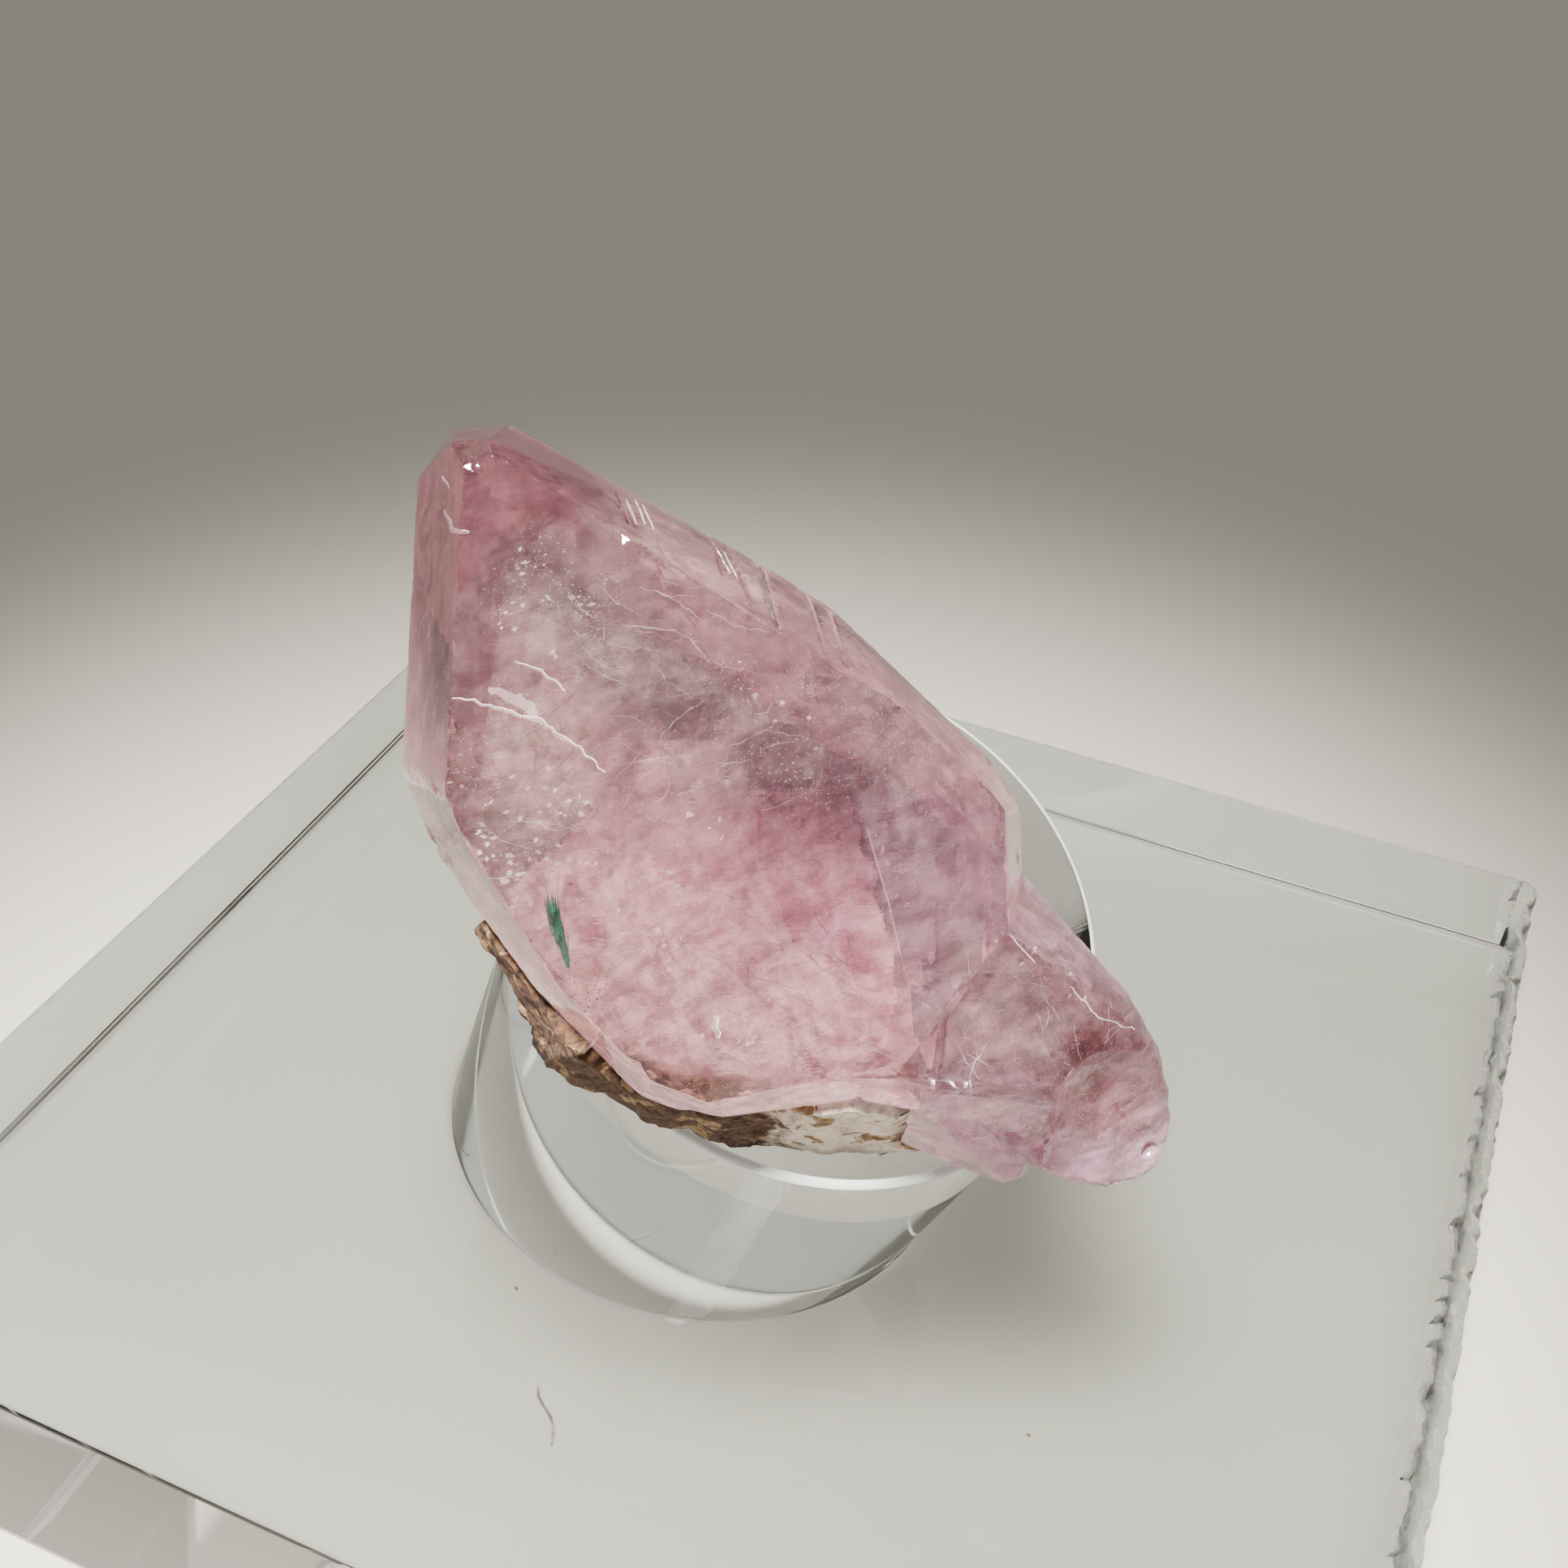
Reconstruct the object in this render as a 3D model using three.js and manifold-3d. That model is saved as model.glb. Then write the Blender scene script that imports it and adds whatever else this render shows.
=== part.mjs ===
// A cobaltoan calcite crystal on a clear acrylic stand.
//
// One pale pink calcite crystal, pointed at the top, with a smaller crystal grown onto its lower right
// side and broken at its end. A thin matrix of brown iron oxide and cream rock covers its lower left
// side and its foot. The foot of the matrix sits on the sloping top of a short clear post, which leans
// on a square clear plate.
//
// Millimetres, +Z up. The origin is the middle of the plate's underside, with +X along its back edge
// and -Y towards the side from which the crystal's broad front face is seen.

import * as THREE from 'three';
import Module from 'manifold-3d';
import * as BufferGeometryUtils from 'three/addons/utils/BufferGeometryUtils.js';
import { TessellateModifier } from 'three/addons/modifiers/TessellateModifier.js';

const wasm = await Module();
wasm.setup();

// The stand: a plate sawn from quarter-inch sheet and a post cut from half-inch rod.
const plate = { width: 38, depth: 35.4, thickness: 6.2, chamfer: 0.3, cornerRadius: 0.5 };
const post = { radius: 6.35, length: 11.9, lean: 23.7, heading: -34.4, footX: -0.96, footY: -2.83, sides: 64 };

// How the specimen is set up: where its middle is, which way its front face looks, and its roll.
const setting = { x: 2.3, y: -8.3, z: 21.3, heading: -68.6, tiltUp: 34, roll: 3.3 };

// The air left between neighbours that touch in the real thing.
const gap = 0.3;

// How far above the post's top each part of the calcite ends. The matrix fills the space under the
// main crystal.
const mainFootHeight = 1.3;
const sideFootHeight = 0.5;

// The crystals are cut by flat faces, and each is described as it is seen from the front. "toward" is
// the angle in which a face looks round the front view, from +X. An edge of the outline has a face in
// front of it and one behind it, which "front" and "back" turn away from the viewer. "reach" is the
// distance of the edge from the middle, and "level" is its height in front of the middle.
const mainRim = [
  { toward: 95.4, reach: 7.84, level: 0, front: 78, back: 125 },
  { toward: 61.4, reach: 4.27, level: 0, front: 80, back: 121 },
  { toward: 58, reach: 4.14, level: 0, front: 74, back: 119 },
  { toward: 46.8, reach: 3.9, level: 0, front: 80, back: 118 },
  { toward: 36, reach: 4.3, level: 0, front: 80, back: 118 },
  { toward: 2, reach: 5.14, level: 0, front: 77, back: 115 },
  { toward: -37, reach: 5.25, level: 0, front: 80, back: 112 },
  { toward: -84, reach: 5.25, level: 2.3, front: 84, back: 98 },
  { toward: -111, reach: 5.5, level: 1.7, front: 69, back: 100 },
  { toward: -136, reach: 5.1, level: 1.6, front: 70, back: 100 },
  { toward: -148, reach: 5.7, level: 0, front: 69.6, back: 104 },
  { toward: -158, reach: 6, level: 0, front: 71, back: 112 },
  { toward: 176.5, reach: 6.85, level: 0, front: 68, back: 117 },
  { toward: 143, reach: 9.01, level: 0, front: 76, back: 125 },
];

// Its broad faces, the lip along the foot of the front face, and a facet at the tip. "turn" is how far
// a face turns away from the viewer, and "distance" is that of its plane from the middle.
const mainFaces = [
  { name: 'front', toward: 0, turn: 1, distance: 3.5 },
  { name: 'front right', toward: 15.3, turn: 14, distance: 3.88 },
  { name: 'right bevel', toward: 0, turn: 42, distance: 5.08 },
  { name: 'lip', toward: -78, turn: 59, distance: 5.72 },
  { name: 'tip', toward: 117, turn: 60, distance: 8.6 },
  { name: 'back', toward: 40, turn: 176, distance: 3.9 },
  { name: 'back left', toward: 190, turn: 158, distance: 4.5 },
];

// The smaller crystal on the lower right.
const sideRim = [
  { toward: 42, reach: 3.1, level: 0, front: 66, back: 115 },
  { toward: 30.5, reach: 4.52, level: 0, front: 66, back: 115 },
  { toward: 7.6, reach: 7.38, level: -0.5, front: 72, back: 112 },
  { toward: -11.7, reach: 9.38, level: -0.6, front: 72, back: 112 },
  { toward: -36, reach: 10.7, level: -0.7, front: 70, back: 110 },
  { toward: -74.5, reach: 9.1, level: -0.7, front: 66, back: 110 },
  { toward: -94, reach: 6.92, level: -0.6, front: 64, back: 110 },
  { toward: -105, reach: 5.45, level: -0.4, front: 66, back: 108 },
  { toward: -118, reach: 3.5, level: 0, front: 72, back: 100 },
];
const brokenEnd = { name: 'broken end', toward: -42.7, turn: 32.2, distance: 5.02 };
const sideFaces = [
  { name: 'side front', toward: -22, turn: 24.5, distance: 4.05 },
  brokenEnd,
  { name: 'side back', toward: 0, turn: 178, distance: 3.4 },
  { name: 'side joint', toward: 180, turn: 90, distance: -3 },
];

// The lump of calcite between the two crystals at the foot.
const footRim = [
  { toward: -112.6, reach: 4.86, level: -0.3, front: 63, back: 120 },
  { toward: -77.5, reach: 8.2, level: -0.3, front: 66, back: 120 },
  { toward: -39.6, reach: 8.66, level: -0.3, front: 66, back: 120 },
];
const footFaces = [
  { name: 'foot top', toward: -80, turn: 41, distance: 5.2 },
  { name: 'foot joint', toward: 90, turn: 90, distance: -5 },
  { name: 'foot left', toward: 180, turn: 90, distance: -2.9 },
  { name: 'foot back', toward: 0, turn: 180, distance: 2.5 },
];

// The scallop, a thin sheet that carries the lip on over the smaller crystal and ends round.
const scallopOutline = [
  [1.6, -4.4], [2.6, -4.45], [3.36, -4.72], [4.73, -4.9], [5.31, -5], [5.64, -5.12], [5.95, -5.45],
  [6.13, -5.74], [6.08, -5.9], [5.6, -5.95], [5.33, -6.15], [4.93, -5.88], [4.41, -5.64],
  [3.74, -5.46], [3.2, -5.24], [2.7, -5.15], [2, -4.95],
];
const scallopFace = { toward: -80, turn: 41, distance: 5.56 };

// Growth striae: sharp little grooves that cross the bevel on the upper right. Each runs from the
// outline to the front face and is given as seen from the front.
const striae = [
  { from: [-2.67, 6.25], to: [-2.31, 5.49], width: 0.06 },
  { from: [-2.5, 6.2], to: [-2.16, 5.4], width: 0.06 },
  { from: [-0.84, 5.3], to: [-0.62, 4.59], width: 0.07 },
  { from: [-0.42, 4.95], to: [-0.09, 4.01], width: 0.1 },
  { from: [0.02, 4.78], to: [0.32, 3.72], width: 0.08 },
  { from: [0.19, 4.66], to: [0.43, 3.62], width: 0.07 },
  { from: [1.02, 4.13], to: [1.28, 3.1], width: 0.1 },
  { from: [1.43, 3.8], to: [1.62, 2.95], width: 0.08 },
];
const striaDepth = 0.07;
const striaFace = mainRim[2];

// Shell-like fractures on the broken end, as ball-shaped bites of a given radius and depth.
const endBreaks = [
  { x: 6.7, y: -5.35, radius: 2, depth: 0.34 },
  { x: 6.2, y: -6.5, radius: 1.5, depth: 0.2 },
  { x: 7.4, y: -5.75, radius: 1.1, depth: 0.16 },
  { x: 7.85, y: -6.7, radius: 0.2, depth: 0.22 },
];

// Chips out of the edges, as balls with their middles.
const chips = [
  { x: -6.85, y: 0.1, z: 0.7, radius: 0.5 },
  { x: -6.5, y: -0.55, z: 0.4, radius: 0.42 },
  { x: -6.05, y: -1.45, z: 0.6, radius: 0.5 },
  { x: 6.6, y: -1.9, z: 0.9, radius: 0.75 },
  { x: 7.5, y: -2.9, z: 0.7, radius: 0.7 },
  { x: 5.45, y: -0.75, z: 0.9, radius: 0.5 },
];

// The matrix: brown along the lower left, cream along the foot.
const matrixRim = [
  { toward: -151, reach: 5.85, level: -0.3, front: 68, back: 108 },
  { toward: -118, reach: 6.15, level: -0.3, front: 70, back: 104 },
  { toward: -104, reach: 6.28, level: -0.3, front: 69, back: 102 },
  { toward: -92, reach: 6.62, level: -0.8, front: 65, back: 100 },
  { toward: 12, reach: 1.9, level: 0, front: 90, back: 90 },
  { toward: 95, reach: 0.4, level: 0, front: 90, back: 90 },
  { toward: 135, reach: 2.2, level: 0, front: 90, back: 90 },
];
const matrixFaces = [
  { name: 'matrix front', toward: 0, turn: 0, distance: 2.5 },
  { name: 'matrix back', toward: 0, turn: 180, distance: 5.2 },
];
const matrixGrain = { edge: 0.6, lump: 0.14, lumpSize: 1.7, grain: 0.05, grainSize: 0.7 };

const colours = { calcite: 0xd9a9b4, matrix: 0x8a6239, acrylic: 0xdfe6df };

const toRadians = THREE.MathUtils.degToRad;

// A unit vector from the angle round the front view and the turn away from the viewer.
function faceNormal({ toward, turn }) {
  const round = toRadians(toward);
  const away = toRadians(turn);
  return new THREE.Vector3(
    Math.cos(round) * Math.sin(away), Math.sin(round) * Math.sin(away), Math.cos(away));
}

// The height of a face over a point of the front view.
function heightOnFace(face, x, y) {
  const normal = faceNormal(face);
  return (face.distance - normal.x * x - normal.y * y) / normal.z;
}

// The face in front of an edge of the outline, or behind it.
function rimFace(edge, side) {
  const turn = edge[side];
  const away = toRadians(turn);
  return { toward: edge.toward, turn, distance: edge.reach * Math.sin(away) + edge.level * Math.cos(away) };
}

// A closed solid from a geometry, with its shared corners merged.
function solidOf(geometry) {
  const bare = new THREE.BufferGeometry();
  bare.setAttribute('position', geometry.getAttribute('position').clone());
  if (geometry.index) bare.setIndex(geometry.index.clone());
  const merged = BufferGeometryUtils.mergeVertices(bare, 1e-5);
  return new wasm.Manifold(new wasm.Mesh({
    numProp: 3,
    vertProperties: new Float32Array(merged.getAttribute('position').array),
    triVerts: new Uint32Array(merged.index.array),
  }));
}

// A geometry from a solid.
function geometryOf(solid) {
  const mesh = solid.getMesh();
  const geometry = new THREE.BufferGeometry();
  geometry.setAttribute('position', new THREE.BufferAttribute(new Float32Array(mesh.vertProperties), 3));
  geometry.setIndex(new THREE.BufferAttribute(new Uint32Array(mesh.triVerts), 1));
  return geometry;
}

// Cuts away everything beyond one plane, given by its outward normal and its distance.
function cleave(solid, normal, distance) {
  const size = 60;
  const block = new THREE.BoxGeometry(size, size, size);
  block.translate(0, 0, size / 2 + distance);
  block.applyQuaternion(new THREE.Quaternion().setFromUnitVectors(new THREE.Vector3(0, 0, 1), normal));
  return solid.subtract(solidOf(block));
}

// A faceted solid from its outline and its broad faces, all of them moved outwards by "grow".
function facetedSolid(rim, faces, grow = 0) {
  const rimFaces = rim.flatMap((edge) => [rimFace(edge, 'front'), rimFace(edge, 'back')]);
  let solid = solidOf(new THREE.BoxGeometry(36, 36, 36));
  for (const face of [...rimFaces, ...faces]) {
    solid = cleave(solid, faceNormal(face), face.distance + grow);
  }
  return solid;
}

// A ball with flat facets, for shell-like fractures.
function ball({ x, y, z, radius }) {
  const detail = radius > 1 ? 5 : 2;
  return solidOf(new THREE.IcosahedronGeometry(radius, detail).translate(x, y, z));
}

// The frame of the specimen: +Z out of its front face, +X to the right, +Y up along it.
const outward = faceNormal({ toward: setting.heading, turn: 90 - setting.tiltUp });
const right = faceNormal({ toward: setting.heading + 90, turn: 90 });
const upward = outward.clone().cross(right);
right.applyAxisAngle(outward, toRadians(setting.roll));
upward.applyAxisAngle(outward, toRadians(setting.roll));
const specimen = new THREE.Group();
specimen.quaternion.setFromRotationMatrix(new THREE.Matrix4().makeBasis(right, upward, outward));
specimen.position.set(setting.x, setting.y, setting.z);
specimen.updateMatrix();

// The post's axis, and the middle of its sloping top.
const postAxis = faceNormal({ toward: post.heading, turn: post.lean });
const postFoot = new THREE.Vector3(post.footX, post.footY, plate.thickness);
const postTop = postFoot.clone().addScaledVector(postAxis, post.length);

// The same top, as the specimen meets it.
const restNormal = postAxis.clone().applyQuaternion(specimen.quaternion.clone().invert());
const restMiddle = postTop.clone().applyMatrix4(specimen.matrix.clone().invert());

// Cuts away whatever is less than a given height above the post's top.
function trimAbovePost(solid, height) {
  return cleave(solid, restNormal.clone().negate(), -(restMiddle.dot(restNormal) + height));
}

// The scallop, made as a prism and cut to its sloping face.
function scallopSolid(grow) {
  const shape = new THREE.Shape(scallopOutline.map(([x, y]) => new THREE.Vector2(x, y)));
  const geometry = new THREE.ExtrudeGeometry(shape, {
    depth: 4, bevelEnabled: grow > 0, bevelSize: grow, bevelThickness: grow, bevelSegments: 1,
  });
  return cleave(solidOf(geometry), faceNormal(scallopFace), scallopFace.distance + grow);
}

// The calcite before anything is broken out of it, with its surface moved outwards by "grow".
function calciteBody(grow) {
  const main = trimAbovePost(facetedSolid(mainRim, mainFaces, grow), mainFootHeight - grow);
  const side = trimAbovePost(facetedSolid(sideRim, sideFaces, grow), sideFootHeight - grow);
  const foot = trimAbovePost(facetedSolid(footRim, footFaces, grow), sideFootHeight - grow);
  return main.add(side).add(foot).add(scallopSolid(grow));
}

// One groove with a square section, laid along a face.
function grooveSolid({ from, to, width }, face) {
  const normal = faceNormal(face);
  const start = new THREE.Vector3(from[0], from[1], heightOnFace(face, from[0], from[1]));
  const end = new THREE.Vector3(to[0], to[1], heightOnFace(face, to[0], to[1]));
  const along = end.clone().sub(start);
  const bar = new THREE.BoxGeometry(along.length() + 0.6, width, striaDepth * 2);
  along.normalize();
  const turned = new THREE.Matrix4().makeBasis(along, normal.clone().cross(along), normal);
  turned.setPosition(start.add(end).multiplyScalar(0.5));
  return solidOf(bar.applyMatrix4(turned));
}

// One shell-like bite into a face.
function breakSolid({ x, y, radius, depth }, face) {
  const middle = new THREE.Vector3(x, y, heightOnFace(face, x, y));
  middle.addScaledVector(faceNormal(face), radius - depth);
  return ball({ x: middle.x, y: middle.y, z: middle.z, radius });
}

function calciteSolid() {
  let solid = calciteBody(0);
  for (const stria of striae) solid = solid.subtract(grooveSolid(stria, rimFace(striaFace, 'front')));
  for (const bite of endBreaks) solid = solid.subtract(breakSolid(bite, brokenEnd));
  for (const chip of chips) solid = solid.subtract(ball(chip));
  return solid;
}

// Smooth lumps from a few sine waves that cross each other.
function lumps(point, size) {
  const k = (2 * Math.PI) / size;
  const { x, y, z } = point;
  const wave = Math.sin(k * (x + 0.4 * y)) * Math.sin(k * (0.8 * y - 0.5 * z) + 1.3);
  const cross = Math.sin(k * (0.9 * z + 0.3 * x) + 2.1) * Math.sin(k * 1.7 * (x - y));
  return 0.6 * wave + 0.4 * cross;
}

// A rough rock surface: the flat faces are split finely and pushed in and out.
function roughen(solid, grain) {
  const fine = new TessellateModifier(grain.edge, 12).modify(geometryOf(solid).toNonIndexed());
  const position = fine.getAttribute('position');
  const point = new THREE.Vector3();
  const middle = new THREE.Vector3(-0.5, -3, -1.5);
  for (let i = 0; i < position.count; i += 1) {
    point.fromBufferAttribute(position, i);
    const push = grain.lump * lumps(point, grain.lumpSize) + grain.grain * lumps(point, grain.grainSize);
    point.addScaledVector(point.clone().sub(middle).normalize(), push);
    position.setXYZ(i, point.x, point.y, point.z);
  }
  return solidOf(fine);
}

function matrixSolid() {
  const rough = roughen(facetedSolid(matrixRim, matrixFaces), matrixGrain);
  return trimAbovePost(rough, gap).subtract(calciteBody(gap));
}

// The post: a leaning rod, its foot cut flush with the plate and its top square to its own axis.
function postGeometry() {
  const overlength = 6;
  const rod = new THREE.CylinderGeometry(post.radius, post.radius, post.length + overlength, post.sides);
  rod.translate(0, (post.length - overlength) / 2, 0);
  rod.applyQuaternion(new THREE.Quaternion().setFromUnitVectors(new THREE.Vector3(0, 1, 0), postAxis));
  return geometryOf(cleave(solidOf(rod), new THREE.Vector3(0, 0, -1), -gap));
}

// The plate: a square with barely rounded corners and a narrow chamfer round both faces.
function plateGeometry() {
  const { width, depth, thickness, chamfer, cornerRadius } = plate;
  const x = width / 2 - chamfer;
  const y = depth / 2 - chamfer;
  const shape = new THREE.Shape();
  const corners = [[x, -y, -0.5], [x, y, 0], [-x, y, 0.5], [-x, -y, 1]];
  for (const [cornerX, cornerY, turn] of corners) {
    const middleX = cornerX - Math.sign(cornerX) * cornerRadius;
    const middleY = cornerY - Math.sign(cornerY) * cornerRadius;
    shape.absarc(middleX, middleY, cornerRadius, turn * Math.PI, (turn + 0.5) * Math.PI);
  }
  const geometry = new THREE.ExtrudeGeometry(shape, {
    depth: thickness - 2 * chamfer, bevelSize: chamfer, bevelThickness: chamfer, bevelSegments: 1,
    curveSegments: 4,
  });
  geometry.translate(0, 0, chamfer);
  return geometry;
}

function piece(name, geometry, color, roughness) {
  const mesh = new THREE.Mesh(
    geometry, new THREE.MeshStandardMaterial({ color, roughness, metalness: 0 }));
  mesh.name = name;
  return mesh;
}

const postPiece = piece('acrylic_post', postGeometry(), colours.acrylic, 0.05);
postPiece.position.copy(postFoot);

specimen.add(
  piece('calcite_crystal', geometryOf(calciteSolid()), colours.calcite, 0.15),
  piece('matrix', geometryOf(matrixSolid()), colours.matrix, 0.9));

const stone = new THREE.Group();
stone.add(piece('acrylic_plate', plateGeometry(), colours.acrylic, 0.05), postPiece, specimen);

export default stone;
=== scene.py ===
import heapq
import math
import random

import bmesh
import bpy
from mathutils import Matrix, Vector, noise
from mathutils.bvhtree import BVHTree


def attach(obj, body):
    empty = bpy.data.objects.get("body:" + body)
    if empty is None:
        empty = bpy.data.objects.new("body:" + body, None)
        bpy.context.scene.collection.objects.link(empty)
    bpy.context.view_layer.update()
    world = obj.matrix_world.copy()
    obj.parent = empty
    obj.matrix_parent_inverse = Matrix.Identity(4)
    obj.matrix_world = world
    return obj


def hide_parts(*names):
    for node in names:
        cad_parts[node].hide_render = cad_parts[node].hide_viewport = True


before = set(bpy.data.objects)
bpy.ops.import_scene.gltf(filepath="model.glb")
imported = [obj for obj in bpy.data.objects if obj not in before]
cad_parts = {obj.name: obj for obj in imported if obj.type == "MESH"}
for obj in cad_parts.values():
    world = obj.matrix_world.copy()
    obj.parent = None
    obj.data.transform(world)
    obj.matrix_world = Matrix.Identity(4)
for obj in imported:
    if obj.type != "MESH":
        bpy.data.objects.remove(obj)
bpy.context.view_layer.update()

MM = 0.001

# The clear stand: a plate sawn from quarter-inch acrylic sheet and a short leaning rod, cemented to it.
# The cement is clear, so the two are one block of plastic, with a thin fillet round the rod's foot.
# The plate's right side is a chipped saw cut, its other sides are polished and its edges are eased.
PLATE = Vector((38.0, 35.4, 6.2))
PLATE_CORNER = 0.5
PLATE_EASING = 0.26
ROD_RADIUS = 6.35
ROD_LENGTH = 11.9
ROD_EASING = 0.2
FOOT_FILLET = 0.16
ROD_FOOT = Vector((-0.96, -2.83, 6.2))
ROD_LEAN = math.radians(23.7)
ROD_HEADING = math.radians(-34.4)
ROD_AXIS = Vector((math.sin(ROD_LEAN) * math.cos(ROD_HEADING), math.sin(ROD_LEAN) * math.sin(ROD_HEADING),
                   math.cos(ROD_LEAN)))
ROD_TOP = ROD_FOOT + ROD_AXIS * ROD_LENGTH


def object_from(bm, name, material, space=Matrix.Identity(4)):
    """A mesh object from a bmesh whose millimetres are those of the given space."""
    mesh = bpy.data.meshes.new(name)
    bm.to_mesh(mesh)
    bm.free()
    mesh.transform(Matrix.Scale(MM, 4) @ space)
    mesh.materials.append(material)
    made = bpy.data.objects.new(name, mesh)
    bpy.context.scene.collection.objects.link(made)
    return made


def shade(obj, smooth_below, flat_along=()):
    """Smooth shading over gentle edges. Faces that look along one of the given axes stay flat."""
    obj.data.shade_smooth()
    obj.data.set_sharp_from_angle(angle=math.radians(smooth_below))
    for face in obj.data.polygons:
        if any(abs(face.normal.dot(axis)) > 0.9995 for axis in flat_along):
            face.use_smooth = False


def belongs(obj, slot, *nodes):
    """Fixes a piece to the specimen and lets it stand for CAD nodes. Its slot is not used."""
    if nodes:
        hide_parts(*nodes)
    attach(obj, "root")


def made_plain(obj):
    """Turns what an object's modifiers make into its own plain mesh."""
    evaluated = obj.evaluated_get(bpy.context.evaluated_depsgraph_get())
    plain = bpy.data.meshes.new_from_object(evaluated)
    obj.modifiers.clear()
    obj.data = plain


def material_named(name, **inputs):
    """A material with values on its Principled shader. Returns it with its nodes, links and shader."""
    material = bpy.data.materials.new(name)
    material.use_nodes = True
    tree = material.node_tree
    surface = tree.nodes["Principled BSDF"]
    for key, value in inputs.items():
        surface.inputs[key.replace("_", " ")].default_value = value
    return material, tree.nodes, tree.links, surface


def coordinates(nodes, links, space=None):
    """Object coordinates as millimetres, or as millimetres of a turned space."""
    where = nodes.new("ShaderNodeTexCoord")
    mapping = nodes.new("ShaderNodeMapping")
    mapping.vector_type = "TEXTURE"
    mapping.inputs["Scale"].default_value = (MM, MM, MM)
    if space:
        mapping.inputs["Location"].default_value = space.to_translation() * MM
        mapping.inputs["Rotation"].default_value = space.to_euler()
    links.new(where.outputs["Object"], mapping.inputs["Vector"])
    return mapping.outputs["Vector"]


def noise_at(nodes, links, where, scale, detail=4.0, distortion=0.0, roughness=0.55, stretch=None, turn=0):
    """Noise with a scale per millimetre, perhaps turned and squeezed along the axes."""
    if stretch:
        mapping = nodes.new("ShaderNodeMapping")
        mapping.vector_type = "TEXTURE"
        mapping.inputs["Rotation"].default_value = (0, 0, math.radians(turn))
        mapping.inputs["Scale"].default_value = [1 / part for part in stretch]
        links.new(where, mapping.inputs["Vector"])
        where = mapping.outputs["Vector"]
    texture = nodes.new("ShaderNodeTexNoise")
    texture.inputs["Scale"].default_value = scale
    texture.inputs["Detail"].default_value = detail
    texture.inputs["Roughness"].default_value = roughness
    texture.inputs["Distortion"].default_value = distortion
    links.new(where, texture.inputs["Vector"])
    return texture.outputs["Fac"]


def between(nodes, links, value, low, high, to_low=0.0, to_high=1.0):
    """Maps a value from one range to another, smoothly and clamped."""
    mapped = nodes.new("ShaderNodeMapRange")
    mapped.interpolation_type = "SMOOTHSTEP"
    mapped.inputs["From Min"].default_value = low
    mapped.inputs["From Max"].default_value = high
    mapped.inputs["To Min"].default_value = to_low
    mapped.inputs["To Max"].default_value = to_high
    links.new(value, mapped.inputs["Value"])
    return mapped.outputs["Result"]


def mixed(nodes, links, amount, first, second, blend="MIX"):
    """Mixes two colours, each a value or a link, by an amount that is a value or a link."""
    mix = nodes.new("ShaderNodeMix")
    mix.data_type = "RGBA"
    mix.blend_type = blend
    for socket, value in ((mix.inputs[0], amount), (mix.inputs[6], first), (mix.inputs[7], second)):
        if isinstance(value, bpy.types.NodeSocket):
            links.new(value, socket)
        elif isinstance(value, (float, int)):
            socket.default_value = value
        else:
            socket.default_value = (*value, 1.0)
    return mix.outputs[2]


def figured(nodes, links, operation, first, second):
    """One Math node between two numbers or links."""
    node = nodes.new("ShaderNodeMath")
    node.operation = operation
    for socket, value in zip(node.inputs, (first, second)):
        if isinstance(value, bpy.types.NodeSocket):
            links.new(value, socket)
        else:
            socket.default_value = value
    return node.outputs[0]


def vector_figured(nodes, links, operation, first, second=None):
    """One Vector Math node of links or vectors. A dot product and a length give a number."""
    node = nodes.new("ShaderNodeVectorMath")
    node.operation = operation
    for socket, value in zip(node.inputs, (first, second)):
        if isinstance(value, bpy.types.NodeSocket):
            links.new(value, socket)
        elif value is not None:
            socket.default_value = value
    return node.outputs["Value" if operation in ("DOT_PRODUCT", "LENGTH") else "Vector"]


def bumped(nodes, links, surface, height, depth):
    """Relief of a given depth in millimetres on the shader's normal."""
    bump = nodes.new("ShaderNodeBump")
    bump.inputs["Strength"].default_value = 1.0
    bump.inputs["Distance"].default_value = depth * MM
    links.new(height, bump.inputs["Height"])
    links.new(bump.outputs["Normal"], surface.inputs["Normal"])


def smoothstep(low, high, x):
    t = min(max((x - low) / (high - low), 0.0), 1.0)
    return t * t * (3 - 2 * t)


def plate_block():
    width, depth, height = PLATE
    bm = bmesh.new()
    bmesh.ops.create_cube(bm, size=1.0, matrix=Matrix.Diagonal((width, depth, height, 1.0)))
    bmesh.ops.translate(bm, verts=bm.verts, vec=(0, 0, height / 2))
    upright = [e for e in bm.edges if abs(e.verts[0].co.z - e.verts[1].co.z) > 1]
    bmesh.ops.bevel(bm, geom=upright, offset=PLATE_CORNER, segments=4, affect="EDGES", profile=0.5)
    level = [e for e in bm.edges if sum(abs(f.normal.z) > 0.9 for f in e.link_faces) == 1]
    bmesh.ops.bevel(bm, geom=level, offset=PLATE_EASING, segments=3, affect="EDGES", profile=0.5)
    saw_cut(bm)
    return object_from(bm, "plate_block", acrylic)


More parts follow.
